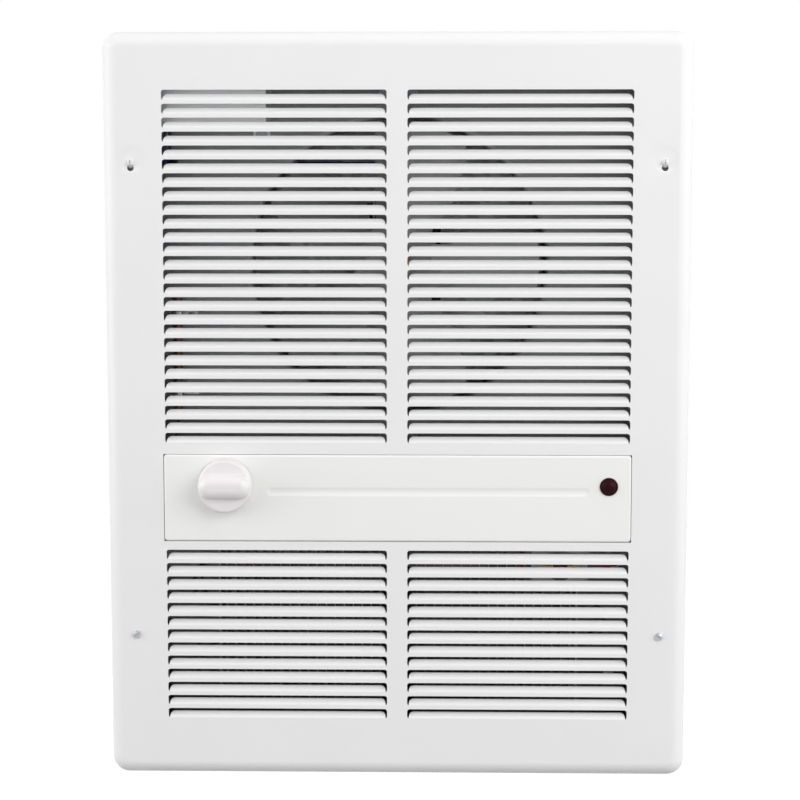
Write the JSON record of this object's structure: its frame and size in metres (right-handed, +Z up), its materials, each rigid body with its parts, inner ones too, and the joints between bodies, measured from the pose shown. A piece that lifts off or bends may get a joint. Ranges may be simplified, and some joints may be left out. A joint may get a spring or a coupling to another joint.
{
  "type": "recessed wall fan heater",
  "caption": "Recessed fan-forced wall heater with a white louvred front panel, control plate with knob and pilot lamp, wall box, fan, motor and finned element.",
  "frame": {"origin": "centre of the wall opening on the finished wall face, level with the middle of the front panel", "axes": "+X to the right seen from the room, +Y into the wall, +Z up; the front panel faces -Y"},
  "size_m": [0.406, 0.1306, 0.521],
  "materials": {
    "galvanised": "galvanised sheet steel, faint spangle",
    "bright_zinc": "bright electroplated zinc sheet",
    "zinc": "zinc plated steel",
    "white_enamel": "white baked enamel, low gloss",
    "white_head": "white painted screw head",
    "plate_enamel": "warm white baked enamel, low gloss",
    "aluminised": "aluminised sheet steel",
    "fan_aluminium": "stamped aluminium",
    "brass": "plain brass",
    "black_steel": "black oxide steel",
    "ground_steel": "ground steel",
    "lamination": "stacked electrical steel, varnished",
    "bobbin_nylon": "natural nylon",
    "winding": "varnished copper winding under tape",
    "die_cast": "die cast zinc alloy",
    "bronze": "sintered bronze",
    "grommet_rubber": "black rubber",
    "sheath_steel": "heat-darkened steel sheath",
    "fin_steel": "aluminised steel fins",
    "insulator_ceramic": "unglazed ceramic",
    "plated_steel": "bright plated steel",
    "phenolic": "dark phenolic moulding",
    "knob_white": "white moulded plastic, satin",
    "copper": "bare copper",
    "lamp_red": "dark red translucent lens",
    "lamp_black": "black nylon",
    "reset_red": "red plastic",
    "block_white": "white nylon",
    "ground_green": "green passivated screw",
    "wire_black": "black wire insulation",
    "wire_red": "red wire insulation",
    "wire_blue": "blue lead insulation",
    "wire_grey": "grey lead insulation"
  },
  "bodies": {
    "heater": {"box_back": "galvanised", "box_sides": "galvanised", "box_ends": "galvanised", "sheet_screws": "zinc", "panel_standoffs": "zinc", "front_panel": "white_enamel", "upper_panel_screws": "white_head", "lower_panel_screws": "zinc", "control_plate": "plate_enamel", "plate_nuts": "zinc", "control_channel": "aluminised", "fan_plate": "aluminised", "motor_stator": "lamination", "motor_bobbin": "bobbin_nylon", "motor_coil": "winding", "motor_front_bracket": "die_cast", "motor_rear_bracket": "die_cast", "motor_bearings": "bronze", "motor_bolts": "zinc", "motor_nuts": "zinc", "motor_strap": "aluminised", "motor_grommets": "grommet_rubber", "strap_screws": "zinc", "element_tube": "sheath_steel", "element_fins": "fin_steel", "element_insulators": "insulator_ceramic", "element_terminals": "plated_steel", "element_brackets": "aluminised", "air_deflector": "aluminised", "deflector_screws": "zinc", "thermostat_body": "phenolic", "thermostat_terminals": "brass", "thermostat_nut": "plated_steel", "sensing_bulb": "copper", "capillary_tube": "copper", "bulb_clips": "plated_steel", "pilot_lamp_lens": "lamp_red", "pilot_lamp_body": "lamp_black", "lamp_retainer": "plated_steel", "limit_bracket": "aluminised", "limit_body": "phenolic", "limit_cap": "fan_aluminium", "limit_terminals": "brass", "junction_cover": "bright_zinc", "junction_screws": "zinc", "terminal_block": "block_white", "terminal_screws": "brass", "ground_screw": "ground_green", "supply_wires": "wire_black", "element_wires": "wire_red", "motor_leads": "wire_blue", "lamp_leads": "wire_grey"},
    "knob": {"thermostat_knob": "knob_white", "thermostat_shaft": "ground_steel"},
    "fan": {"fan_blade": "fan_aluminium", "fan_hub": "brass", "hub_set_screw": "black_steel", "motor_shaft": "ground_steel", "motor_rotor": "lamination"},
    "reset": {"reset_button": "reset_red"}
  },
  "joints": [
    {"name": "knob_turn", "type": "hinge", "parent": "heater", "child": "knob", "pos_m": [-0.1195, -0.0206, -0.0521], "axis": [0, 1, 0], "range_deg": [0, 270]},
    {"name": "fan_spin", "type": "hinge", "parent": "heater", "child": "fan", "pos_m": [0, 0.03, 0.09895], "axis": [0, 1, 0], "continuous": true},
    {"name": "reset_push", "type": "slide", "parent": "heater", "child": "reset", "axis": [0, 1, 0], "range_m": [0, 0.002], "stiffness_N_per_m": 600, "springref_m": -0.001}
  ]
}
